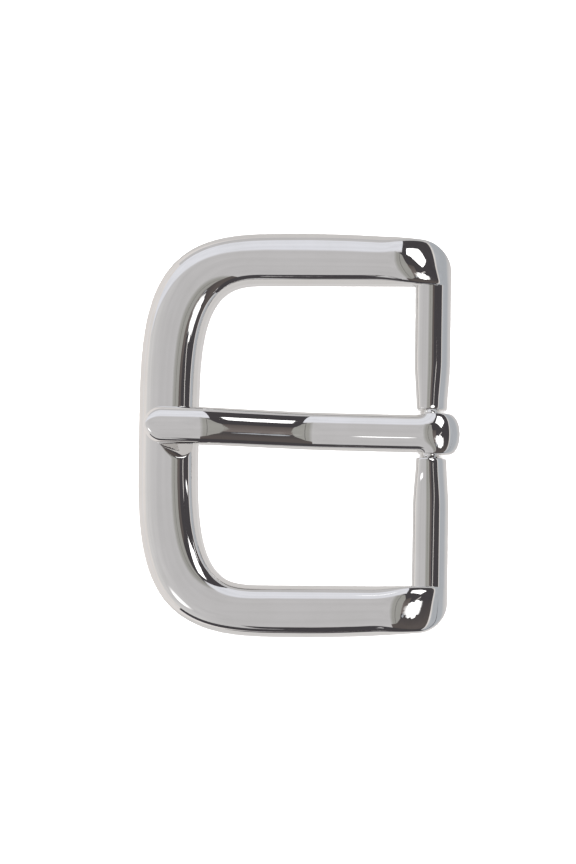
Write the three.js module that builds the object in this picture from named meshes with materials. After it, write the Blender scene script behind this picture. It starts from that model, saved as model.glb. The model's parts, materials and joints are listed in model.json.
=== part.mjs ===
// Belt buckle for a 35 mm strap: a one-piece cast frame with its own heel bar, and a prong whose
// curl swings on the heel bar's neck.
// Millimetres. The buckle lies on its back: +Z is its front, +X points from the front bar to the
// heel bar, and Y runs along both bars. The origin is under the middle of the bounding box.
import * as THREE from 'three';
import { ParametricGeometry } from 'three/addons/geometries/ParametricGeometry.js';
import { mergeVertices } from 'three/addons/utils/BufferGeometryUtils.js';

const { clamp, lerp, smoothstep } = THREE.MathUtils;

// Plan of the frame. Its left part is a pair of superellipses, bowed outwards.
const HALF_WIDTH = 24.4;
const FRONT_EDGE = -19.4;
const HEEL_EDGE = 18.1;
const OUTER_CENTRE = 0.1;
const STRAP_HALF = 18.25;
const INNER_CENTRE = -3.5;
const INNER_FRONT = -12.4;
const BOW_POWER = 3.6;
const ARM_FALL = 1;
const HEEL_INNER = 13.9;
const OUTER_CORNER = 3.3;
const INNER_CORNER = 0.35;

// Heights of the frame. The sides stand straight up to a rounded crown, and the back is flat. Each arm
// rolls down to the heel from where its roll starts, and its crown is flatter at that knuckle.
const ARM_HEIGHT = 5.1;
const FRONT_HEIGHT = 5.3;
const SIDE_WALL = 3;
const BACK_ROUND = 0.45;
const ROLL_START = 10.6;
const END_WALL = 0.6;
const KNUCKLE_RISE = 0.9;
const KNUCKLE_BLEND = [9, 15];
const CORNER_LEAN = 0.6;

// Where the crown is highest, as a share of the way from the middle of the bar to its inner edge.
const FRONT_CREST = -0.04;
const ARM_CREST = 0.15;
const CREST_BLEND = [-14, -2];

// Groove for the prong's tip, across the inner half of the front bar.
const GROOVE_RADIUS = 7.5;
const GROOVE_START = -16.9;
const GROOVE_SLOPE = 0.36;

// Heel bar: thick towards the arms, tapered towards the neck, which lies a little to one side.
const HEEL_HEIGHT = 3.1;
const HEEL_CREST = 15.2;
const HEEL_INNER_WALL = 2.1;
const HEEL_TAPER = 0.3;
const TAPER_LENGTH = 6;
const END_ROUND = 0.55;
const END_SHRINK = 0.12;
const HEEL_SINK = 0.8;
const NECK_HALF = 2.95;
const NECK_SHIFT = 0.25;
const NECK_RADIUS = 1.15;
const NECK = new THREE.Vector2(15.83, 1.8);

// Prong: a level tip, a slope and a level shank, then a curl round the neck. The tip rests a little
// askew, as far as the curl's play on the neck lets it.
const PRONG_HALF = 2.25;
const TIP_X = -18.35;
const TIP_DRIFT = 0.55;
const TIP_FILL = 4;
const TIP_TOP = 8.1;
const TIP_THICK = 2.5;
const SHANK_TOP = 4;
const SHANK_THICK = 2.5;
const SHANK_END = 13.2;
const SLOPE_START = -11.3;
const SLOPE_END = 1.5;
const BEND_SOFTNESS = 0.8;
const CROWN_RISE = 1.35;
const CROWN_SHARE = 0.82;
const PRONG_ROUND = 0.3;
const CURL_GAP = 0.25;
const CURL_BULGE = 0.2;
const CURL_SPREAD = 0.6;
const CURL_START = 14.33;
const CURL_BACK = 19.4;
const CURL_MID = 0.8;
const CURL_BOTTOM = 0.05;
const CURL_UNDER = 15.6;
const CURL_END = THREE.MathUtils.degToRad(115);
const HOLE_START = THREE.MathUtils.degToRad(178);
const HOLE_BACK = THREE.MathUtils.degToRad(-5);
const HOLE_END = THREE.MathUtils.degToRad(-140);

// Facets: points across each section, and sections along each stretch.
const CROWN_STEPS = 14;
const LOWER_STEPS = 6;
const END_STEPS = 2;
const HEEL_STEPS = 7;
const SHOULDER_STEPS = 12;
const ARM_STEPS = 7;
const BOW_STEPS = 18;
const TIP_STEPS = 6;
const SHANK_STEPS = 18;
const CURL_STEPS = 9;
const BOW_GRADING = 1.5;
const SEARCH_STEPS = 40;
const WELD_DISTANCE = 1e-4;

// Polished nickel plating on each piece.
const FRAME_COLOUR = 0xd6d6d8;
const FRAME_ROUGHNESS = 0.08;
const PRONG_COLOUR = 0xdadadb;
const PRONG_ROUGHNESS = 0.07;

const quarter = Math.PI / 2;
const ellipse = (share) => Math.sqrt(Math.max(0, 1 - share * share));

// Point of a superellipse quarter, where turn runs from the front (0) to the side (90 degrees).
function bowPoint(centre, front, side, turn) {
  const reach = (Math.cos(turn) ** BOW_POWER + Math.sin(turn) ** BOW_POWER) ** (-1 / BOW_POWER);
  const x = centre + (front - centre) * reach * Math.cos(turn);
  return new THREE.Vector2(x, side * reach * Math.sin(turn));
}

// Outer edge of an arm, with the rounded corner at the heel.
function armEdge(x) {
  const along = (x - OUTER_CENTRE) / (HEEL_EDGE - OUTER_CENTRE);
  const edge = HALF_WIDTH - ARM_FALL * Math.max(0, along) ** 2;
  const intoCorner = clamp((x - HEEL_EDGE + OUTER_CORNER) / OUTER_CORNER, 0, 1);
  return edge - OUTER_CORNER * (1 - ellipse(intoCorner));
}

// Share of the crown's rise: two quarter ellipses that meet at the crest.
function crown(x, across) {
  const crest = lerp(FRONT_CREST, ARM_CREST, smoothstep(x, ...CREST_BLEND));
  return ellipse((across - crest) / (across < crest ? 1 + crest : 1 - crest));
}

// Height of an arm or the front bar, where across runs from the outer edge (-1) to the inner (1).
// Towards the heel the arm rolls down, sooner at its outer edge, and its crown flattens.
function barTop(x, across, fullHeight) {
  const straight = clamp((x - ROLL_START) / (HEEL_EDGE - ROLL_START), 0, 1);
  const lean = (CORNER_LEAN * (1 - across)) / 2;
  const roll = straight * (1 + lean * (1 - straight));
  const rise = lerp(fullHeight - SIDE_WALL, KNUCKLE_RISE, smoothstep(x, ...KNUCKLE_BLEND));
  const crest = lerp(END_WALL, fullHeight, ellipse(roll));
  return crest - rise * ellipse(roll) * (1 - crown(x, across));
}

function grooveFloor(x, y) {
  const start = FRONT_HEIGHT - (x - GROOVE_START) * GROOVE_SLOPE;
  return start + GROOVE_RADIUS * (1 - ellipse(Math.min(1, y / GROOVE_RADIUS)));
}

// Height of the heel bar, given its edges at this place along it.
function heelTop(x, inner, outer, height) {
  if (x < HEEL_CREST) {
    const across = (HEEL_CREST - x) / (HEEL_CREST - inner);
    return lerp(HEEL_INNER_WALL, height, ellipse(across));
  }
  return lerp(END_WALL, height, ellipse((x - HEEL_CREST) / (outer - HEEL_CREST)));
}

// A section is the two plan points of its edges and the height of its top between them.
function frontSection(turn) {
  const outer = bowPoint(OUTER_CENTRE, FRONT_EDGE, HALF_WIDTH, turn);
  const inner = bowPoint(INNER_CENTRE, INNER_FRONT, STRAP_HALF, turn);
  const height = lerp(FRONT_HEIGHT, ARM_HEIGHT, smoothstep(turn, 0, quarter));
  const top = (x, y, across) => {
    const bar = barTop(x, across, height);
    return x > GROOVE_START ? Math.min(bar, grooveFloor(x, y)) : bar;
  };
  return { outer, inner, top };
}

function armSection(share) {
  const outerX = lerp(OUTER_CENTRE, HEEL_INNER - INNER_CORNER, share);
  const innerX = lerp(INNER_CENTRE, HEEL_INNER - INNER_CORNER, share);
  return {
    outer: new THREE.Vector2(outerX, armEdge(outerX)),
    inner: new THREE.Vector2(innerX, STRAP_HALF),
    top: (x, y, across) => barTop(x, across, ARM_HEIGHT),
  };
}

// Round the corner the higher of the two bars shows: the arm's domed end, or the heel bar below it.
function shoulderTop(x, y) {
  const edge = armEdge(x);
  const across = clamp((edge + STRAP_HALF - 2 * y) / (edge - STRAP_HALF), -1, 1);
  const sink = HEEL_SINK * Math.max(0, y - STRAP_HALF) ** 2;
  const heel = heelTop(x, HEEL_INNER, HEEL_EDGE, HEEL_HEIGHT) - sink;
  return y < STRAP_HALF ? heel : Math.max(heel, barTop(x, across, ARM_HEIGHT));
}

function shoulderSection(turn) {
  const centre = new THREE.Vector2(HEEL_INNER - INNER_CORNER, STRAP_HALF - INNER_CORNER);
  const direction = new THREE.Vector2(Math.cos(turn), Math.sin(turn));
  const inner = direction.clone().multiplyScalar(INNER_CORNER).add(centre);
  let near = 0;
  let far = 2 * (HEEL_EDGE - HEEL_INNER) + 2 * OUTER_CORNER;
  for (let i = 0; i < SEARCH_STEPS; i += 1) {
    const middle = (near + far) / 2;
    const x = centre.x + direction.x * middle;
    const inside = x < HEEL_EDGE && centre.y + direction.y * middle < armEdge(x);
    near = inside ? middle : near;
    far = inside ? far : middle;
  }
  return { outer: direction.multiplyScalar(near).add(centre), inner, top: shoulderTop };
}

function heelSection(y, neckEnd, shrink) {
  const taper = HEEL_TAPER * (1 - smoothstep(y, neckEnd, neckEnd + TAPER_LENGTH)) + shrink;
  const inner = HEEL_INNER + taper;
  const outer = HEEL_EDGE - taper;
  return {
    outer: new THREE.Vector2(outer, y),
    inner: new THREE.Vector2(inner, y),
    top: (x) => heelTop(x, inner, outer, HEEL_HEIGHT - shrink),
  };
}

// Closed ring of points for one section: over the crown, down the inner side, along the flat back
// and up the outer side.
function sectionRing({ outer, inner, top }) {
  const ring = [];
  const add = (share, z) => {
    const plan = outer.clone().lerp(inner, share);
    ring.push(new THREE.Vector3(plan.x, plan.y, z));
  };
  for (let i = 0; i <= CROWN_STEPS; i += 1) {
    const across = -Math.cos((Math.PI * i) / CROWN_STEPS);
    const plan = outer.clone().lerp(inner, (1 + across) / 2);
    ring.push(new THREE.Vector3(plan.x, plan.y, top(plan.x, plan.y, across)));
  }
  const round = BACK_ROUND / outer.distanceTo(inner);
  const soft = 1 - Math.SQRT1_2;
  add(1, BACK_ROUND);
  add(1 - round * soft, BACK_ROUND * soft);
  add(1 - round, 0);
  add(round, 0);
  add(round * soft, BACK_ROUND * soft);
  add(0, BACK_ROUND);
  return ring;
}

// The same number of points round the neck.
function neckRing(y) {
  const ring = [];
  for (let i = 0; i <= CROWN_STEPS + LOWER_STEPS; i += 1) {
    const upper = (Math.PI * i) / CROWN_STEPS;
    const lower = Math.PI * (1 + (i - CROWN_STEPS) / (LOWER_STEPS + 1));
    const turn = i <= CROWN_STEPS ? upper : lower;
    const x = NECK.x + NECK_RADIUS * Math.cos(turn);
    ring.push(new THREE.Vector3(x, y, NECK.y + NECK_RADIUS * Math.sin(turn)));
  }
  return ring;
}

// Surface through a list of rings. A closed list joins its last ring to its first.
function loft(rings, closed) {
  const points = rings[0].length;
  const stacks = closed ? rings.length : rings.length - 1;
  const surface = new ParametricGeometry(
    (u, v, target) => {
      const ring = rings[Math.round(v * stacks) % rings.length];
      target.copy(ring[(points - Math.round(u * points)) % points]);
    },
    points,
    stacks,
  );
  surface.deleteAttribute('normal');
  surface.deleteAttribute('uv');
  const welded = mergeVertices(surface, WELD_DISTANCE);
  const faces = [];
  for (let i = 0; i < welded.index.count; i += 3) {
    const [a, b, c] = welded.index.array.slice(i, i + 3);
    if (a !== b && b !== c && c !== a) {
      faces.push(a, b, c);
    }
  }
  welded.setIndex(faces);
  welded.computeVertexNormals();
  return welded;
}

const mirroredRing = (ring) => ring.map((point) => new THREE.Vector3(point.x, -point.y, point.z));
const mirrored = (rings) => rings.map(mirroredRing).reverse();

// The rings from the neck round to the front bar, on the side where y is positive.
function halfRings(neckEnd) {
  const rings = [neckRing(neckEnd)];
  for (let i = 0; i <= END_STEPS; i += 1) {
    const turn = (quarter * i) / END_STEPS;
    const y = neckEnd + END_ROUND * (1 - Math.cos(turn));
    rings.push(sectionRing(heelSection(y, neckEnd, END_SHRINK * (1 - Math.sin(turn)))));
  }
  for (let i = 1; i <= HEEL_STEPS; i += 1) {
    const y = lerp(neckEnd + END_ROUND, STRAP_HALF - INNER_CORNER, i / (HEEL_STEPS + 1));
    rings.push(sectionRing(heelSection(y, neckEnd, 0)));
  }
  for (let i = 0; i <= SHOULDER_STEPS; i += 1) {
    rings.push(sectionRing(shoulderSection(quarter * (i / SHOULDER_STEPS))));
  }
  for (let i = ARM_STEPS; i > 0; i -= 1) {
    rings.push(sectionRing(armSection(i / (ARM_STEPS + 1))));
  }
  for (let i = BOW_STEPS; i > 0; i -= 1) {
    rings.push(sectionRing(frontSection(quarter * (i / BOW_STEPS) ** BOW_GRADING)));
  }
  return rings;
}

function frameGeometry() {
  const upper = halfRings(NECK_HALF + NECK_SHIFT);
  const lower = halfRings(NECK_HALF - NECK_SHIFT);
  return loft([neckRing(0), ...upper, sectionRing(frontSection(0)), ...mirrored(lower)], true);
}

// Top of the prong's strip before the curl: two soft bends join the level ends to the slope.
function stripTop(x) {
  const bend = (start) => BEND_SOFTNESS * Math.log1p(Math.exp((x - start) / BEND_SOFTNESS));
  const down = (bend(SLOPE_START) - bend(SLOPE_END)) / (SLOPE_END - SLOPE_START);
  return lerp(TIP_TOP, SHANK_TOP, down);
}

const stripThickness = (x) => lerp(TIP_THICK, SHANK_THICK, smoothstep(x, SLOPE_START, SLOPE_END));

// A prong section stands on a bottom point and reaches to a top point, both in an X-Z plane at middleY.
function prongRing({ bottom, top, half, middleY }) {
  const rise = top.clone().sub(bottom);
  const thickness = rise.length();
  const wall = thickness - Math.min(CROWN_RISE, thickness * CROWN_SHARE);
  const round = Math.min(PRONG_ROUND, wall / 2, half / 2);
  const soft = 1 - Math.SQRT1_2;
  const ring = [];
  const add = (y, height) => {
    const place = bottom.clone().addScaledVector(rise, height / thickness);
    ring.push(new THREE.Vector3(place.x, middleY + y, place.y));
  };
  for (let i = 0; i <= CROWN_STEPS; i += 1) {
    const turn = (Math.PI * i) / CROWN_STEPS;
    add(half * Math.cos(turn), wall + (thickness - wall) * Math.sin(turn));
  }
  add(-half, round);
  add(-half + round * soft, round * soft);
  add(-half + round, 0);
  add(half - round, 0);
  add(half - round * soft, round * soft);
  add(half, round);
  return ring;
}

const askew = (x) => NECK_SHIFT + (TIP_DRIFT * (SHANK_END - x)) / (SHANK_END - TIP_X);

function stripSection(x, half, fill) {
  const middle = stripTop(x) - stripThickness(x) / 2;
  const reach = (stripThickness(x) / 2) * fill;
  const bottom = new THREE.Vector2(x, middle - reach);
  const top = new THREE.Vector2(x, middle + reach);
  return { bottom, top, half, middleY: askew(x) };
}

const around = (centre, rx, rz, turn) =>
  new THREE.Vector2(centre.x + rx * Math.cos(turn), centre.y + rz * Math.sin(turn));

// The curl's outside is a quarter ellipse over the back of the neck, then a flatter one below it.
function curlSection(share) {
  const hole = NECK_RADIUS + CURL_GAP;
  const below = share > 1;
  const rest = below ? share - 1 : share;
  const turn = below ? lerp(HOLE_BACK, HOLE_END, rest) : lerp(HOLE_START, HOLE_BACK, rest);
  const backCentre = new THREE.Vector2(CURL_START, CURL_MID);
  const underCentre = new THREE.Vector2(CURL_UNDER, CURL_MID);
  const top = below
    ? around(underCentre, CURL_BACK - CURL_UNDER, CURL_MID - CURL_BOTTOM, -CURL_END * rest)
    : around(backCentre, CURL_BACK - CURL_START, SHANK_TOP - CURL_MID, quarter * (1 - rest));
  return {
    bottom: around(NECK, hole, hole, turn),
    top,
    half: PRONG_HALF + CURL_BULGE * smoothstep(share, 0, CURL_SPREAD),
    middleY: NECK_SHIFT,
  };
}

// All the points of a ring drawn together, where the prong ends.
const pole = (x, y, z) => Array(CROWN_STEPS + LOWER_STEPS + 1).fill(new THREE.Vector3(x, y, z));

function prongGeometry() {
  const sections = [];
  for (let i = 1; i <= TIP_STEPS; i += 1) {
    const turn = (quarter * i) / TIP_STEPS;
    const fill = (1 - Math.cos(turn) ** TIP_FILL) ** (1 / TIP_FILL);
    const x = TIP_X + PRONG_HALF * (1 - Math.cos(turn));
    sections.push(stripSection(x, PRONG_HALF * Math.sin(turn), fill));
  }
  for (let i = 1; i <= SHANK_STEPS; i += 1) {
    const x = lerp(TIP_X + PRONG_HALF, SHANK_END, i / SHANK_STEPS);
    sections.push(stripSection(x, PRONG_HALF, 1));
  }
  for (let i = 0; i <= 2 * CURL_STEPS; i += 1) {
    sections.push(curlSection(i / CURL_STEPS));
  }
  const end = sections.at(-1);
  const endPlace = end.bottom.clone().lerp(end.top, 0.5);
  const tipPole = pole(TIP_X, askew(TIP_X), TIP_TOP - TIP_THICK / 2);
  const endPole = pole(endPlace.x, NECK_SHIFT, endPlace.y);
  return loft([tipPole, ...sections.map(prongRing), endPole].reverse(), false);
}

const nickel = (name, geometry, color, roughness) => {
  const material = new THREE.MeshStandardMaterial({ color, roughness, metalness: 1 });
  const mesh = new THREE.Mesh(geometry, material);
  mesh.name = name;
  return mesh;
};

const buckle = new THREE.Group();
buckle.add(nickel('frame', frameGeometry(), FRAME_COLOUR, FRAME_ROUGHNESS));
buckle.add(nickel('prong', prongGeometry(), PRONG_COLOUR, PRONG_ROUGHNESS));

export default buckle;
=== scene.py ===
"""Polished belt buckle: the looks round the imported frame.

The pieces' lengths are in millimetres until a mesh is made. Meshes and the studio are in metres, in
the same frame as the CAD.
"""
import json
import math

import bpy
import numpy as np
from mathutils import Matrix, Vector


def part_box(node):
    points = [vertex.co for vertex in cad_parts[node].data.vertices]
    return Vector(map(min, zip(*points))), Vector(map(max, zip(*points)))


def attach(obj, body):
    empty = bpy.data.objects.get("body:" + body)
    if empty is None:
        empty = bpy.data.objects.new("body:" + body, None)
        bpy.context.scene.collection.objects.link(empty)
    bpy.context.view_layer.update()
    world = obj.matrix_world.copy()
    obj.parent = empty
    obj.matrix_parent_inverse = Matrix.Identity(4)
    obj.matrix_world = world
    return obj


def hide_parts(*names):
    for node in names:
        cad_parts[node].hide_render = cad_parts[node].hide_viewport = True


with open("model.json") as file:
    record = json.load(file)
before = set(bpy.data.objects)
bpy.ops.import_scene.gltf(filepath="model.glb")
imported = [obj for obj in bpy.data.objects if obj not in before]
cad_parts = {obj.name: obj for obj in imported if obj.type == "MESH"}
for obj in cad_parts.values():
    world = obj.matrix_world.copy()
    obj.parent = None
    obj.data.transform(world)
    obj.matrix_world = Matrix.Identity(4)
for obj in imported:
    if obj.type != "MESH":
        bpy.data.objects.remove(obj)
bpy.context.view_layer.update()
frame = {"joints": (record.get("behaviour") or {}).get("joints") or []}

MM = 0.001
QUARTER = math.pi / 2

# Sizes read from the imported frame.
frame_low, frame_high = (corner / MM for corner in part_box("frame"))
prong_low, prong_high = (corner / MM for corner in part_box("prong"))
hinge = Vector(frame["joints"][0]["pos_m"]) / MM

# Plan of the frame.
HALF_WIDTH = frame_high.y
FRONT_EDGE = frame_low.x
HEEL_EDGE = frame_high.x
OUTER_CENTRE = 0.1
STRAP_HALF = 18.25
INNER_CENTRE = -3.5
INNER_FRONT = -12.4
BOW_POWER = 3.6
ARM_FALL = 1.0
HEEL_INNER = 13.9
OUTER_CORNER = 3.3
INNER_CORNER = 0.35

# Heights of the frame.
ARM_HEIGHT = 5.1
FRONT_HEIGHT = 5.3
SIDE_WALL = 3.0
BACK_ROUND = 0.45
ROLL_START = 10.6
END_WALL = 0.6
KNUCKLE_RISE = 0.9
KNUCKLE_BLEND = (9.0, 15.0)
CORNER_LEAN = 0.6

# Where the crown is highest, as a share of the way from the middle of the bar to its inner edge.
FRONT_CREST = -0.04
ARM_CREST = 0.15
CREST_BLEND = (-14.0, -2.0)

# Groove for the prong's tip.
GROOVE_RADIUS = 7.5
GROOVE_START = -16.9
GROOVE_SLOPE = 0.36
EDGE_SOFTNESS = 0.05

# Heel bar and neck.
HEEL_HEIGHT = 3.1
HEEL_CREST = 15.2
HEEL_INNER_WALL = 2.1
HEEL_TAPER = 0.3
TAPER_LENGTH = 6.0
END_ROUND = 0.55
END_SHRINK = 0.12
HEEL_SINK = 0.8
NECK_HALF = 2.95
NECK_SHIFT = 0.25
NECK_RADIUS = 1.15

# Prong.
PRONG_HALF = 2.25
TIP_X = prong_low.x
TIP_DRIFT = 0.55
TIP_FILL = 4
TIP_TOP = prong_high.z
TIP_THICK = 2.5
SHANK_TOP = 4.0
SHANK_THICK = 2.5
SHANK_END = 13.2
SLOPE_START = -11.3
SLOPE_END = 1.5
BEND_SOFTNESS = 0.8
CROWN_RISE = 1.35
CROWN_SHARE = 0.82
PRONG_ROUND = 0.3
CURL_GAP = 0.25
CURL_BULGE = 0.2
CURL_SPREAD = 0.6
CURL_START = 14.33
CURL_BACK = prong_high.x
CURL_MID = 0.8
CURL_BOTTOM = 0.05
CURL_UNDER = 15.6
CURL_END = math.radians(115)
HOLE_START = math.radians(178)
HOLE_BACK = math.radians(-5)
HOLE_END = math.radians(-140)

# Fineness: points across each section, and sections along each stretch.
CROWN_STEPS = 64
BACK_STEPS = 8
ROUND_STEPS = 4
WALL_STEPS = 4
NECK_STEPS = 6
END_STEPS = 8
HEEL_STEPS = 60
SHOULDER_STEPS = 140
ARM_STEPS = 50
BOW_STEPS = 150
GRADING = 1.5
SEARCH_STEPS = 40
TIP_STEPS = 40
SHANK_STEPS = 180
CURL_STEPS = 60


def lerp(a, b, share):
    return a + (b - a) * share


def smoothstep(x, low, high):
    share = min(1.0, max(0.0, (x - low) / (high - low)))
    return share * share * (3 - 2 * share)


def ellipse(share):
    return math.sqrt(max(0.0, 1 - share * share))


def soft_min(a, b):
    """The lower of two heights, with a narrow fillet where they cross."""
    blend = max(0.0, EDGE_SOFTNESS - abs(a - b)) / EDGE_SOFTNESS
    return min(a, b) - blend * blend * EDGE_SOFTNESS / 4


def soft_max(a, b):
    return -soft_min(-a, -b)


# ---------------------------------------------------------------- frame
def bow_point(centre, front, side, turn):
    """Point of a superellipse quarter: turn runs from the front (0) to the side (90 degrees)."""
    reach = (math.cos(turn) ** BOW_POWER + math.sin(turn) ** BOW_POWER) ** (-1 / BOW_POWER)
    x = centre + (front - centre) * reach * math.cos(turn)
    y = side * reach * math.sin(turn)
    return Vector((x, y))


def arm_edge(x):
    along = (x - OUTER_CENTRE) / (HEEL_EDGE - OUTER_CENTRE)
    edge = HALF_WIDTH - ARM_FALL * max(0.0, along) ** 2
    into_corner = min(1.0, max(0.0, (x - HEEL_EDGE + OUTER_CORNER) / OUTER_CORNER))
    return edge - OUTER_CORNER * (1 - ellipse(into_corner))


def crown(x, across):
    """Share of the crown's rise: two quarter ellipses that meet at the crest."""
    crest = lerp(FRONT_CREST, ARM_CREST, smoothstep(x, *CREST_BLEND))
    return ellipse((across - crest) / (1 + crest if across < crest else 1 - crest))


def bar_top(x, across, full_height):
    """Height of an arm or the front bar: across runs from the outer edge (-1) to the inner (1).
    Towards the heel the arm rolls down, sooner at its outer edge, and its crown flattens."""
    straight = min(1.0, max(0.0, (x - ROLL_START) / (HEEL_EDGE - ROLL_START)))
    roll = straight * (1 + CORNER_LEAN * (1 - across) / 2 * (1 - straight))
    rise = lerp(full_height - SIDE_WALL, KNUCKLE_RISE, smoothstep(x, *KNUCKLE_BLEND))
    crest = lerp(END_WALL, full_height, ellipse(roll))
    return crest - rise * ellipse(roll) * (1 - crown(x, across))


def groove_floor(x, y):
    start = FRONT_HEIGHT - (x - GROOVE_START) * GROOVE_SLOPE
    return start + GROOVE_RADIUS * (1 - ellipse(min(1.0, y / GROOVE_RADIUS)))


def heel_top(x, inner, outer, height):
    if x < HEEL_CREST:
        return lerp(HEEL_INNER_WALL, height, ellipse((HEEL_CREST - x) / (HEEL_CREST - inner)))
    return lerp(END_WALL, height, ellipse((x - HEEL_CREST) / (outer - HEEL_CREST)))


def front_section(turn):
    outer = bow_point(OUTER_CENTRE, FRONT_EDGE, HALF_WIDTH, turn)
    inner = bow_point(INNER_CENTRE, INNER_FRONT, STRAP_HALF, turn)
    height = lerp(FRONT_HEIGHT, ARM_HEIGHT, smoothstep(turn, 0, QUARTER))

    def top(x, y, across):
        return soft_min(bar_top(x, across, height), groove_floor(x, y))

    return outer, inner, top


def arm_section(share):
    outer_x = lerp(OUTER_CENTRE, HEEL_INNER - INNER_CORNER, share)
    inner_x = lerp(INNER_CENTRE, HEEL_INNER - INNER_CORNER, share)

    def top(x, y, across):
        return bar_top(x, across, ARM_HEIGHT)

    return Vector((outer_x, arm_edge(outer_x))), Vector((inner_x, STRAP_HALF)), top


def shoulder_top(x, y, _across):
    """Round the corner the higher bar shows: the arm's domed end, or the heel bar below it."""
    edge = arm_edge(x)
    across = min(1.0, max(-1.0, (edge + STRAP_HALF - 2 * y) / (edge - STRAP_HALF)))
    sink = HEEL_SINK * max(0.0, y - STRAP_HALF) ** 2
    heel = heel_top(x, HEEL_INNER, HEEL_EDGE, HEEL_HEIGHT) - sink
    return heel if y < STRAP_HALF else soft_max(heel, bar_top(x, across, ARM_HEIGHT))


def shoulder_section(turn):
    centre = Vector((HEEL_INNER - INNER_CORNER, STRAP_HALF - INNER_CORNER))
    direction = Vector((math.cos(turn), math.sin(turn)))
    near, far = 0.0, 2 * (HEEL_EDGE - HEEL_INNER) + 2 * OUTER_CORNER
    for _ in range(SEARCH_STEPS):
        middle = (near + far) / 2
        x, y = centre + direction * middle
        if x < HEEL_EDGE and y < arm_edge(x):
            near = middle
        else:
            far = middle
    return centre + direction * near, centre + direction * INNER_CORNER, shoulder_top


def heel_section(y, neck_end, shrink):
    taper = HEEL_TAPER * (1 - smoothstep(y, neck_end, neck_end + TAPER_LENGTH)) + shrink
    inner, outer = HEEL_INNER + taper, HEEL_EDGE - taper

    def top(x, _y, _across):
        return heel_top(x, inner, outer, HEEL_HEIGHT - shrink)

    return Vector((outer, y)), Vector((inner, y)), top


def section_ring(section):
    """Closed ring of points: over the crown, down the inner side, along the back, up the outer."""
    outer, inner, top = section
    ring = []
    for i in range(CROWN_STEPS + 1):
        across = -math.cos(math.pi * i / CROWN_STEPS)
        plan = outer.lerp(inner, (1 + across) / 2)
        ring.append((plan.x, plan.y, top(plan.x, plan.y, across)))
    inner_wall, outer_wall = ring[-1][2], ring[0][2]
    round_share = BACK_ROUND / (outer - inner).length

    def add(share, z):
        plan = outer.lerp(inner, share)
        ring.append((plan.x, plan.y, z))

    for i in range(1, WALL_STEPS):
        add(1, lerp(inner_wall, BACK_ROUND, i / WALL_STEPS))
    for i in range(ROUND_STEPS + 1):
        turn = QUARTER * i / ROUND_STEPS
        add(1 - round_share * (1 - math.cos(turn)), BACK_ROUND * (1 - math.sin(turn)))
    for i in range(1, BACK_STEPS):
        add(lerp(1 - round_share, round_share, i / BACK_STEPS), 0)
    for i in range(ROUND_STEPS + 1):
        turn = QUARTER * i / ROUND_STEPS
        add(round_share * (1 - math.sin(turn)), BACK_ROUND * (1 - math.cos(turn)))
    for i in range(1, WALL_STEPS):
        add(0, lerp(BACK_ROUND, outer_wall, i / WALL_STEPS))
    return ring


def neck_ring(y):
    """The same number of points round the neck."""
    lower_steps = 2 * (WALL_STEPS - 1) + 2 * (ROUND_STEPS + 1) + BACK_STEPS - 1
    ring = []
    for i in range(CROWN_STEPS + 1 + lower_steps):
        below = (i - CROWN_STEPS) / (lower_steps + 1)
        turn = math.pi * i / CROWN_STEPS if i <= CROWN_STEPS else math.pi * (1 + below)
        x = hinge.x + NECK_RADIUS * math.cos(turn)
        z = hinge.z + NECK_RADIUS * math.sin(turn)
        ring.append((x, y, z))
    return ring


def mirrored(rings):
    return [[(x, -y, z) for x, y, z in ring] for ring in reversed(rings)]


def half_rings(neck_end):
    """The rings from the neck round to the front bar, on the side where y is positive."""
    rings = [neck_ring(neck_end * i / NECK_STEPS) for i in range(1, NECK_STEPS + 1)]
    for i in range(END_STEPS + 1):
        turn = QUARTER * i / END_STEPS
        y = neck_end + END_ROUND * (1 - math.cos(turn))
        rings.append(section_ring(heel_section(y, neck_end, END_SHRINK * (1 - math.sin(turn)))))
    for i in range(1, HEEL_STEPS):
        y = lerp(neck_end + END_ROUND, STRAP_HALF - INNER_CORNER, i / HEEL_STEPS)
        rings.append(section_ring(heel_section(y, neck_end, 0)))
    for i in range(SHOULDER_STEPS + 1):
        rings.append(section_ring(shoulder_section(QUARTER * (i / SHOULDER_STEPS) ** GRADING)))
    for i in range(ARM_STEPS - 1, 0, -1):
        rings.append(section_ring(arm_section(i / ARM_STEPS)))
    for i in range(BOW_STEPS, 0, -1):
        rings.append(section_ring(front_section(QUARTER * (i / BOW_STEPS) ** GRADING)))
    return rings


def frame_rings():
    upper, lower = half_rings(NECK_HALF + NECK_SHIFT), half_rings(NECK_HALF - NECK_SHIFT)
    return [neck_ring(0), *upper, section_ring(front_section(0)), *mirrored(lower)]


# ---------------------------------------------------------------- prong
def strip_top(x):
    def bend(start):
        return BEND_SOFTNESS * math.log1p(math.exp((x - start) / BEND_SOFTNESS))

    down = (bend(SLOPE_START) - bend(SLOPE_END)) / (SLOPE_END - SLOPE_START)
    return lerp(TIP_TOP, SHANK_TOP, down)


def strip_thickness(x):
    return lerp(TIP_THICK, SHANK_THICK, smoothstep(x, SLOPE_START, SLOPE_END))


def strip_section(x, half, fill):
    middle = strip_top(x) - strip_thickness(x) / 2
    reach = strip_thickness(x) / 2 * fill
    askew = NECK_SHIFT + TIP_DRIFT * (SHANK_END - x) / (SHANK_END - TIP_X)
    return Vector((x, middle - reach)), Vector((x, middle + reach)), half, askew


def around(x, z, reach_x, reach_z, turn):
    return Vector((x + reach_x * math.cos(turn), z + reach_z * math.sin(turn)))


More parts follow.
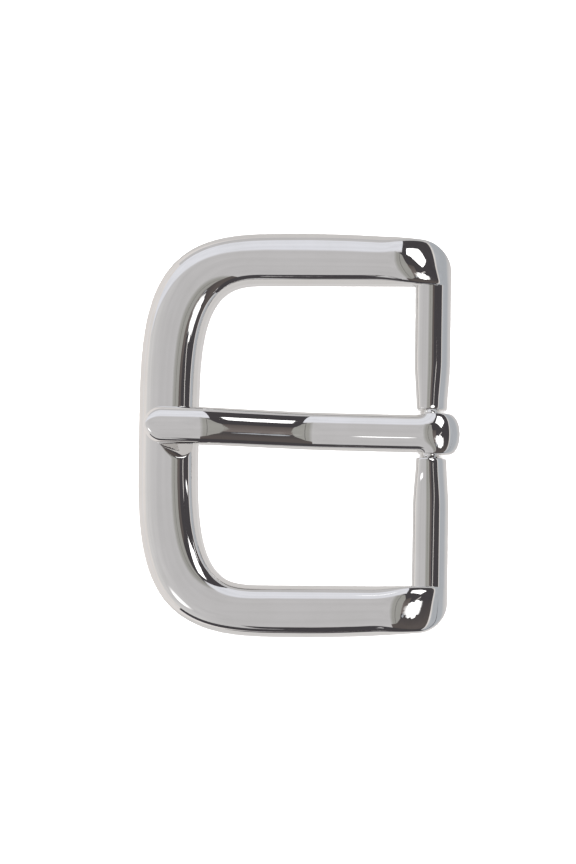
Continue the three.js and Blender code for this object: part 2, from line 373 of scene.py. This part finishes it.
def curl_section(share):
    """The outside is a quarter ellipse over the back of the neck, then a flatter one below it."""
    hole = NECK_RADIUS + CURL_GAP
    if share > 1:
        rest = share - 1
        turn = lerp(HOLE_BACK, HOLE_END, rest)
        reach_x = CURL_BACK - CURL_UNDER
        reach_z = CURL_MID - CURL_BOTTOM
        top = around(CURL_UNDER, CURL_MID, reach_x, reach_z, -CURL_END * rest)
    else:
        turn = lerp(HOLE_START, HOLE_BACK, share)
        reach_x = CURL_BACK - CURL_START
        reach_z = SHANK_TOP - CURL_MID
        top = around(CURL_START, CURL_MID, reach_x, reach_z, QUARTER * (1 - share))
    half = PRONG_HALF + CURL_BULGE * smoothstep(share, 0, CURL_SPREAD)
    return around(hinge.x, hinge.z, hole, hole, turn), top, half, NECK_SHIFT


def prong_ring(section):
    """A section stands on a bottom point and reaches to a top point, both in the X-Z plane."""
    bottom, top, half, middle_y = section
    thickness = (top - bottom).length
    wall = thickness - min(CROWN_RISE, thickness * CROWN_SHARE)
    round_off = min(PRONG_ROUND, wall / 2, half / 2)
    ring = []

    def add(y, height):
        place = bottom.lerp(top, height / thickness)
        ring.append((place.x, middle_y + y, place.y))

    for i in range(CROWN_STEPS + 1):
        turn = math.pi * i / CROWN_STEPS
        add(half * math.cos(turn), wall + (thickness - wall) * math.sin(turn))
    for i in range(1, WALL_STEPS):
        add(-half, lerp(wall, round_off, i / WALL_STEPS))
    for i in range(ROUND_STEPS + 1):
        turn = QUARTER * i / ROUND_STEPS
        add(-half + round_off * (1 - math.cos(turn)), round_off * (1 - math.sin(turn)))
    for i in range(1, BACK_STEPS):
        add(lerp(-half + round_off, half - round_off, i / BACK_STEPS), 0)
    for i in range(ROUND_STEPS + 1):
        turn = QUARTER * i / ROUND_STEPS
        add(half - round_off * (1 - math.sin(turn)), round_off * (1 - math.cos(turn)))
    for i in range(1, WALL_STEPS):
        add(half, lerp(round_off, wall, i / WALL_STEPS))
    return ring


def prong_rings():
    sections = []
    for i in range(1, TIP_STEPS + 1):
        turn = QUARTER * i / TIP_STEPS
        fill = (1 - math.cos(turn) ** TIP_FILL) ** (1 / TIP_FILL)
        x = TIP_X + PRONG_HALF * (1 - math.cos(turn))
        sections.append(strip_section(x, PRONG_HALF * math.sin(turn), fill))
    for i in range(1, SHANK_STEPS + 1):
        x = lerp(TIP_X + PRONG_HALF, SHANK_END, i / SHANK_STEPS)
        sections.append(strip_section(x, PRONG_HALF, 1))
    sections += [curl_section(i / CURL_STEPS) for i in range(2 * CURL_STEPS + 1)]
    return [prong_ring(section) for section in reversed(sections)]


# ---------------------------------------------------------------- meshes
def loft(name, rings, closed):
    """One closed mesh through the rings; an open list gets a fan at each end."""
    count = len(rings[0])
    points = [point for ring in rings for point in ring]
    faces = []
    for i in range(len(rings) if closed else len(rings) - 1):
        here, after = i * count, (i + 1) % len(rings) * count
        for j in range(count):
            k = (j + 1) % count
            faces.append((here + j, after + j, after + k, here + k))
    if not closed:
        for base, turned in ((0, False), ((len(rings) - 1) * count, True)):
            centre = len(points)
            points.append(tuple(np.mean(points[base : base + count], axis=0)))
            for j in range(count):
                edge = (base + j, base + (j + 1) % count)
                faces.append((*(reversed(edge) if turned else edge), centre))
    mesh = bpy.data.meshes.new(name)
    mesh.from_pydata([(x * MM, y * MM, z * MM) for x, y, z in points], [], faces)
    mesh.shade_smooth()
    mesh.validate()
    piece = bpy.data.objects.new(name, mesh)
    bpy.context.scene.collection.objects.link(piece)
    return piece


# ---------------------------------------------------------------- materials
# Sizes and depths of the plating's marks, in metres.
SMUDGE_SIZE = 0.004
SMUDGE_DETAIL = 4
RIPPLE_SIZE = 0.0035
RIPPLE_DETAIL = 1
RIPPLE_DEPTH = 0.000012
BUFFING_SIZE = 0.0009
BUFFING_STRETCH = 14.0
BUFFING_DETAIL = 3
BUFFING_DEPTH = 0.0000004

# The middle range of a noise, which holds nearly all of its values.
NOISE_RANGE = (0.3, 0.7)

# Clean and worn colour of each piece, and its lowest and highest roughness.
FRAME_COLOUR = (0.87, 0.865, 0.86)
FRAME_WORN = (0.84, 0.835, 0.825)
FRAME_ROUGHNESS = (0.02, 0.06)
PRONG_COLOUR = (0.88, 0.875, 0.87)
PRONG_WORN = (0.85, 0.845, 0.835)
PRONG_ROUGHNESS = (0.02, 0.05)


def noise(nodes, links, place, size, detail):
    """Noise with grains of about this size in metres, over object space."""
    texture = nodes.new("ShaderNodeTexNoise")
    texture.inputs["Scale"].default_value = 1 / size
    texture.inputs["Detail"].default_value = detail
    links.new(place, texture.inputs["Vector"])
    return texture.outputs["Fac"]


def remap(nodes, links, value, low, high):
    """A noise's middle range stretched to run from low to high."""
    node = nodes.new("ShaderNodeMapRange")
    node.inputs["From Min"].default_value = NOISE_RANGE[0]
    node.inputs["From Max"].default_value = NOISE_RANGE[1]
    node.inputs["To Min"].default_value = low
    node.inputs["To Max"].default_value = high
    links.new(value, node.inputs["Value"])
    return node.outputs["Result"]


def bump(nodes, links, height, depth, under=None):
    node = nodes.new("ShaderNodeBump")
    node.inputs["Distance"].default_value = depth
    links.new(height, node.inputs["Height"])
    if under:
        links.new(under, node.inputs["Normal"])
    return node.outputs["Normal"]


def polished_nickel(name, colour, worn, roughness, buffed_along):
    """Bright plating: faint ripples of the casting, buffing marks along the bars, and smudges."""
    material = bpy.data.materials.new(name)
    material.use_nodes = True
    nodes, links = material.node_tree.nodes, material.node_tree.links
    shader = nodes["Principled BSDF"]
    shader.inputs["Metallic"].default_value = 1.0
    place = nodes.new("ShaderNodeTexCoord").outputs["Object"]
    stretched = nodes.new("ShaderNodeMapping")
    scales = [1 if axis == buffed_along else BUFFING_STRETCH for axis in "XYZ"]
    stretched.inputs["Scale"].default_value = scales
    links.new(place, stretched.inputs["Vector"])

    smudges = noise(nodes, links, place, SMUDGE_SIZE, SMUDGE_DETAIL)
    links.new(remap(nodes, links, smudges, *roughness), shader.inputs["Roughness"])

    tint = nodes.new("ShaderNodeMix")
    tint.data_type = "RGBA"
    tint.inputs["A"].default_value = (*colour, 1)
    tint.inputs["B"].default_value = (*worn, 1)
    links.new(remap(nodes, links, smudges, 0, 1), tint.inputs["Factor"])
    links.new(tint.outputs["Result"], shader.inputs["Base Color"])

    waves = noise(nodes, links, place, RIPPLE_SIZE, RIPPLE_DETAIL)
    ripple = bump(nodes, links, waves, RIPPLE_DEPTH)
    long_grain = BUFFING_SIZE * BUFFING_STRETCH
    buffing = noise(nodes, links, stretched.outputs["Vector"], long_grain, BUFFING_DETAIL)
    links.new(bump(nodes, links, buffing, BUFFING_DEPTH, ripple), shader.inputs["Normal"])
    return material


frame_nickel = polished_nickel("frame_nickel", FRAME_COLOUR, FRAME_WORN, FRAME_ROUGHNESS, "Y")
prong_nickel = polished_nickel("prong_nickel", PRONG_COLOUR, PRONG_WORN, PRONG_ROUGHNESS, "X")
frame_piece = loft("frame_body", frame_rings(), True)
prong_piece = loft("prong_body", prong_rings(), False)
frame_piece.data.materials.append(frame_nickel)
prong_piece.data.materials.append(prong_nickel)

for piece, node, body, slot in (
    (frame_piece, "frame", "frame_body", "frame_plating"),
    (prong_piece, "prong", "prong_body", "prong_plating"),
):
    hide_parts(node)
    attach(piece, body)


# ---------------------------------------------------------------- camera
CAMERA_DISTANCE = 0.7
SENSOR_WIDTH = 36
FRAME_HEIGHT = 0.1044
CLIP_NEAR = 0.01
CLIP_FAR = 10
LEAN_DOWN = math.radians(5)
LEAN_RIGHT = math.radians(6)
CAMERA_ROLL = math.radians(0.35)
AIM = Vector((-1.3, 0.33, 2.5)) * MM


def make_camera():
    data = bpy.data.cameras.new("camera")
    data.sensor_width = SENSOR_WIDTH
    data.lens = data.sensor_width * CAMERA_DISTANCE / FRAME_HEIGHT
    data.clip_start = CLIP_NEAR
    data.clip_end = CLIP_FAR
    camera = bpy.data.objects.new("camera", data)
    back = Vector((math.tan(LEAN_RIGHT), -math.tan(LEAN_DOWN), 1)).normalized()
    up = back.cross(Vector((1, 0, 0))).normalized()
    right = up.cross(back)
    turn = Matrix((right, up, back)).transposed() @ Matrix.Rotation(CAMERA_ROLL, 3, "Z")
    camera.matrix_world = Matrix.Translation(AIM + back * CAMERA_DISTANCE) @ turn.to_4x4()
    bpy.context.scene.collection.objects.link(camera)
    bpy.context.scene.camera = camera


make_camera()


# ---------------------------------------------------------------- studio
FLOOR_REACH = 3.0
FLOOR_LEVEL = -0.0002
FLOOR_COLOUR = (0.9, 0.9, 0.9)
FLOOR_ROUGHNESS = 0.9
WORLD_STRENGTH = 4
CEILING = 0.5
WALL = 1.5
CARD_STEP = 0.004
CLOTH_SCALE = 5.0
CLOTH_STRENGTH = (0.94, 1.06)

GREY = (0.575, 0.565, 0.57)
GREY_EDGE = (0.7, 0.69, 0.685)
OLIVE = (0.36, 0.355, 0.335)
SEAM = (0.16, 0.155, 0.15)
DARK = (0.065, 0.06, 0.065)
BROWN = (0.11, 0.095, 0.09)
PALE_BLUE = (0.81, 0.82, 0.87)
STEEL_BLUE = (0.46, 0.48, 0.51)
BEIGE = (0.8, 0.765, 0.745)
TABLE = (0.68, 0.66, 0.65)
LIGHT_BROWN = (0.22, 0.19, 0.18)
LIGHT = (2.2, 2.2, 2.2)

# Cards under the ceiling, in degrees from straight up: lowest and highest towards +X, then +Y.
TENT_REACH = 72
TENT_OPENING = 9
TENT_LEFT = (-TENT_REACH, TENT_OPENING, -TENT_REACH, TENT_REACH)
TENT_DARK = (TENT_OPENING, TENT_REACH, -TENT_REACH, TENT_REACH)
TENT_TOP = (-TENT_REACH, 22, 32, TENT_REACH)
TENT_BOTTOM = (-18, TENT_REACH, -TENT_REACH, -60)
OLIVE_SEAM = (17.6, 18.3, -40, 28)
BROWN_CARD = (26.5, 34, -17, 12)
FILL_LAMP = (-56, -26, -52, -18)

# Cards of other shapes, corner by corner, in the same degrees.
OLIVE_CARD = [(9, -46), (19, -40), (26, -26), (27, -6), (26.5, 12), (22, 27), (9, 36)]
LOW_CARD = [(27.5, -21.5), (29.5, -25), (31, -21.5), (29.5, -18)]
LAMP_STRUT = [(40, 1), (41.2, 0), (48.2, 8.3), (47, 9.4)]
SOFTBOX = [(28.5, 29), (46, 18), (55, 34), (47, 43), (29, 41)]

# Open umbrella, in the same degrees. Its edge dips between the ribs by a share of its radius.
UMBRELLA_CENTRE = (42, -13)
UMBRELLA_RADIUS = 14
UMBRELLA_RIBS = 9
UMBRELLA_DIP = 0.25
RIB_POINTS = 4

# Small lamp close over the prong's shank, which gives it its streak.
STREAK_LAMP = (0.005, 0.014, -0.0041, -0.0035)
STREAK_HEIGHT = 0.016

# How far from its centre a lamp has faded out, and the share of that over which it fades.
UMBRELLA_FADE = (0.21, 0.6)
FILL_FADE = (0.16, 0.9)
STREAK_FADE = (0.0046, 0.5)

# Where a card with two colours starts and ends its shading.
LEFT_SHADE = (-1.2, -0.2)
DARK_SHADE = (-0.5, 0.0)
TOP_SHADE = (0.315, 0.38)
OLIVE_SHADE = (0.07, 0.12)
BROWN_SHADE = (-0.15, 0.1)
HEEL_WALL_SHADE = (0.36, 0.44)
TABLE_SHADE = (0.019, 0.024)
LEFT_END_SHADE = (-0.3, -0.05)

# The table's ends lie between the floor and the buckle. The dark one starts at this corner.
TABLE_END_LEVEL = FLOOR_LEVEL / 2
DARK_END_X = -0.015
DARK_END_Y = -0.045


def glow(name, colour, far_colour=None, axis=None, span=None):
    """An emitting material; with a second colour it shades from one to the other along an axis."""
    material = bpy.data.materials.new(name)
    material.use_nodes = True
    nodes, links = material.node_tree.nodes, material.node_tree.links
    nodes.clear()
    light = nodes.new("ShaderNodeEmission")
    light.inputs["Color"].default_value = (*colour, 1)
    if far_colour:
        parts = nodes.new("ShaderNodeSeparateXYZ")
        links.new(nodes.new("ShaderNodeTexCoord").outputs["Object"], parts.inputs["Vector"])
        share = nodes.new("ShaderNodeMapRange")
        share.inputs["From Min"].default_value = span[0]
        share.inputs["From Max"].default_value = span[1]
        links.new(parts.outputs[axis], share.inputs["Value"])
        mix = nodes.new("ShaderNodeMix")
        mix.data_type = "RGBA"
        mix.inputs["A"].default_value = (*colour, 1)
        mix.inputs["B"].default_value = (*far_colour, 1)
        links.new(share.outputs["Result"], mix.inputs["Factor"])
        links.new(mix.outputs["Result"], light.inputs["Color"])
    cloth = nodes.new("ShaderNodeTexNoise")
    cloth.inputs["Scale"].default_value = CLOTH_SCALE
    links.new(nodes.new("ShaderNodeTexCoord").outputs["Object"], cloth.inputs["Vector"])
    folds = remap(nodes, links, cloth.outputs["Fac"], *CLOTH_STRENGTH)
    links.new(folds, light.inputs["Strength"])
    output = nodes.new("ShaderNodeOutputMaterial")
    links.new(light.outputs["Emission"], output.inputs["Surface"])
    return material


def stage_mesh(name, corners, material):
    mesh = bpy.data.meshes.new(name)
    mesh.from_pydata(corners, [], [list(range(len(corners)))])
    mesh.materials.append(material)
    piece = bpy.data.objects.new(name, mesh)
    bpy.context.scene.collection.objects.link(piece)
    return piece


def reflected(name, corners, *shade):
    """A glowing card that the polished metal reflects, and that lights and hides nothing else."""
    piece = stage_mesh(name, corners, glow(name, *shade))
    piece.visible_camera = False
    piece.visible_diffuse = False
    piece.visible_shadow = False
    piece.visible_transmission = False
    piece.visible_volume_scatter = False
    return piece


def block(low_x, high_x, low_y, high_y):
    return [(low_x, low_y), (high_x, low_y), (high_x, high_y), (low_x, high_y)]


def level(outline, height):
    return [(x, y, height) for x, y in outline]


def overhead(name, outline, layer, *shade):
    """A card under the ceiling, from an outline in degrees. Higher layers hang lower, in front."""
    height = CEILING - layer * CARD_STEP
    corners = [[height * math.tan(math.radians(angle)) for angle in point] for point in outline]
    return reflected(name, level(corners, height), *shade)


def umbrella_outline():
    centre_x, centre_y = UMBRELLA_CENTRE
    points = UMBRELLA_RIBS * RIB_POINTS
    outline = []
    for i in range(points):
        turn = 2 * math.pi * i / points
        between_ribs = i % RIB_POINTS == RIB_POINTS // 2
        reach = UMBRELLA_RADIUS * (1 - UMBRELLA_DIP * between_ribs)
        outline.append((centre_x + reach * math.cos(turn), centre_y + reach * math.sin(turn)))
    return outline


def wall(name, sign, facing, *shade):
    """One side of the tent, from the table up to the ceiling."""
    corners = []
    for along, z in block(-WALL, WALL, FLOOR_LEVEL, CEILING):
        corners.append((sign * WALL, along, z) if facing == "X" else (along, sign * WALL, z))
    reflected(name, corners, *shade)


def soften(piece, radius, softness):
    """Fades a card out from its centre, so that it has no hard rim."""
    nodes, links = piece.active_material.node_tree.nodes, piece.active_material.node_tree.links
    distance = nodes.new("ShaderNodeVectorMath")
    distance.operation = "DISTANCE"
    links.new(nodes.new("ShaderNodeTexCoord").outputs["Object"], distance.inputs[0])
    corners = [vertex.co for vertex in piece.data.vertices]
    distance.inputs[1].default_value = sum(corners, Vector()) / len(corners)
    fade = nodes.new("ShaderNodeMapRange")
    fade.interpolation_type = "SMOOTHSTEP"
    fade.inputs["From Min"].default_value = radius * (1 - softness)
    fade.inputs["From Max"].default_value = radius
    links.new(distance.outputs["Value"], fade.inputs["Value"])
    blend = nodes.new("ShaderNodeMixShader")
    links.new(fade.outputs["Result"], blend.inputs["Fac"])
    links.new(nodes["Emission"].outputs["Emission"], blend.inputs[1])
    links.new(nodes.new("ShaderNodeBsdfTransparent").outputs["BSDF"], blend.inputs[2])
    links.new(blend.outputs["Shader"], nodes["Material Output"].inputs["Surface"])


def make_tent():
    """What the metal reflects: a pale tent with a dark opening towards the heel, and its lamps."""
    overhead("tent_left", block(*TENT_LEFT), 0, GREY_EDGE, GREY, "X", LEFT_SHADE)
    overhead("tent_dark", block(*TENT_DARK), 0, BROWN, DARK, "Y", DARK_SHADE)
    overhead("tent_top", block(*TENT_TOP), 1, GREY, PALE_BLUE, "Y", TOP_SHADE)
    overhead("tent_bottom", block(*TENT_BOTTOM), 1, DARK)
    overhead("olive_card", OLIVE_CARD, 2, GREY, OLIVE, "X", OLIVE_SHADE)
    overhead("olive_seam", block(*OLIVE_SEAM), 3, SEAM)
    overhead("brown_card", block(*BROWN_CARD), 2, LIGHT_BROWN, BROWN, "Y", BROWN_SHADE)
    overhead("low_card", LOW_CARD, 3, STEEL_BLUE)
    overhead("lamp_strut", LAMP_STRUT, 4, BEIGE)
    overhead("softbox", SOFTBOX, 5, LIGHT)
    soften(overhead("umbrella", umbrella_outline(), 5, LIGHT), *UMBRELLA_FADE)
    soften(overhead("fill_lamp", block(*FILL_LAMP), 4, LIGHT), *FILL_FADE)
    streak = reflected("streak_lamp", level(block(*STREAK_LAMP), STREAK_HEIGHT), LIGHT)
    soften(streak, *STREAK_FADE)
    wall("wall_heel", 1, "X", STEEL_BLUE, BEIGE, "Z", HEEL_WALL_SHADE)
    wall("wall_front", -1, "X", BEIGE)
    wall("wall_top", 1, "Y", GREY)
    wall("wall_bottom", -1, "Y", DARK)
    table = level(block(-WALL, WALL, -WALL, WALL), FLOOR_LEVEL)
    reflected("table_reflection", table, TABLE, STEEL_BLUE, "X", TABLE_SHADE)
    left_end = level(block(-WALL, FRONT_EDGE * MM, -WALL, WALL), TABLE_END_LEVEL)
    reflected("table_left_end", left_end, PALE_BLUE, BEIGE, "X", LEFT_END_SHADE)
    dark_end = level(block(DARK_END_X, WALL, -WALL, DARK_END_Y), TABLE_END_LEVEL)
    reflected("table_dark_end", dark_end, DARK)


def make_floor():
    material = bpy.data.materials.new("floor_paper")
    material.use_nodes = True
    shader = material.node_tree.nodes["Principled BSDF"]
    shader.inputs["Base Color"].default_value = (*FLOOR_COLOUR, 1)
    shader.inputs["Roughness"].default_value = FLOOR_ROUGHNESS
    shader.inputs["Specular IOR Level"].default_value = 0
    outline = block(-FLOOR_REACH, FLOOR_REACH, -FLOOR_REACH, FLOOR_REACH)
    floor = stage_mesh("floor", level(outline, FLOOR_LEVEL), material)
    floor.visible_glossy = False


def make_world():
    world = bpy.data.worlds.new("studio")
    world.use_nodes = True
    background = world.node_tree.nodes["Background"]
    background.inputs["Color"].default_value = (1, 1, 1, 1)
    background.inputs["Strength"].default_value = WORLD_STRENGTH
    bpy.context.scene.world = world


make_tent()
make_floor()
make_world()
bpy.context.scene.view_settings.view_transform = "Standard"
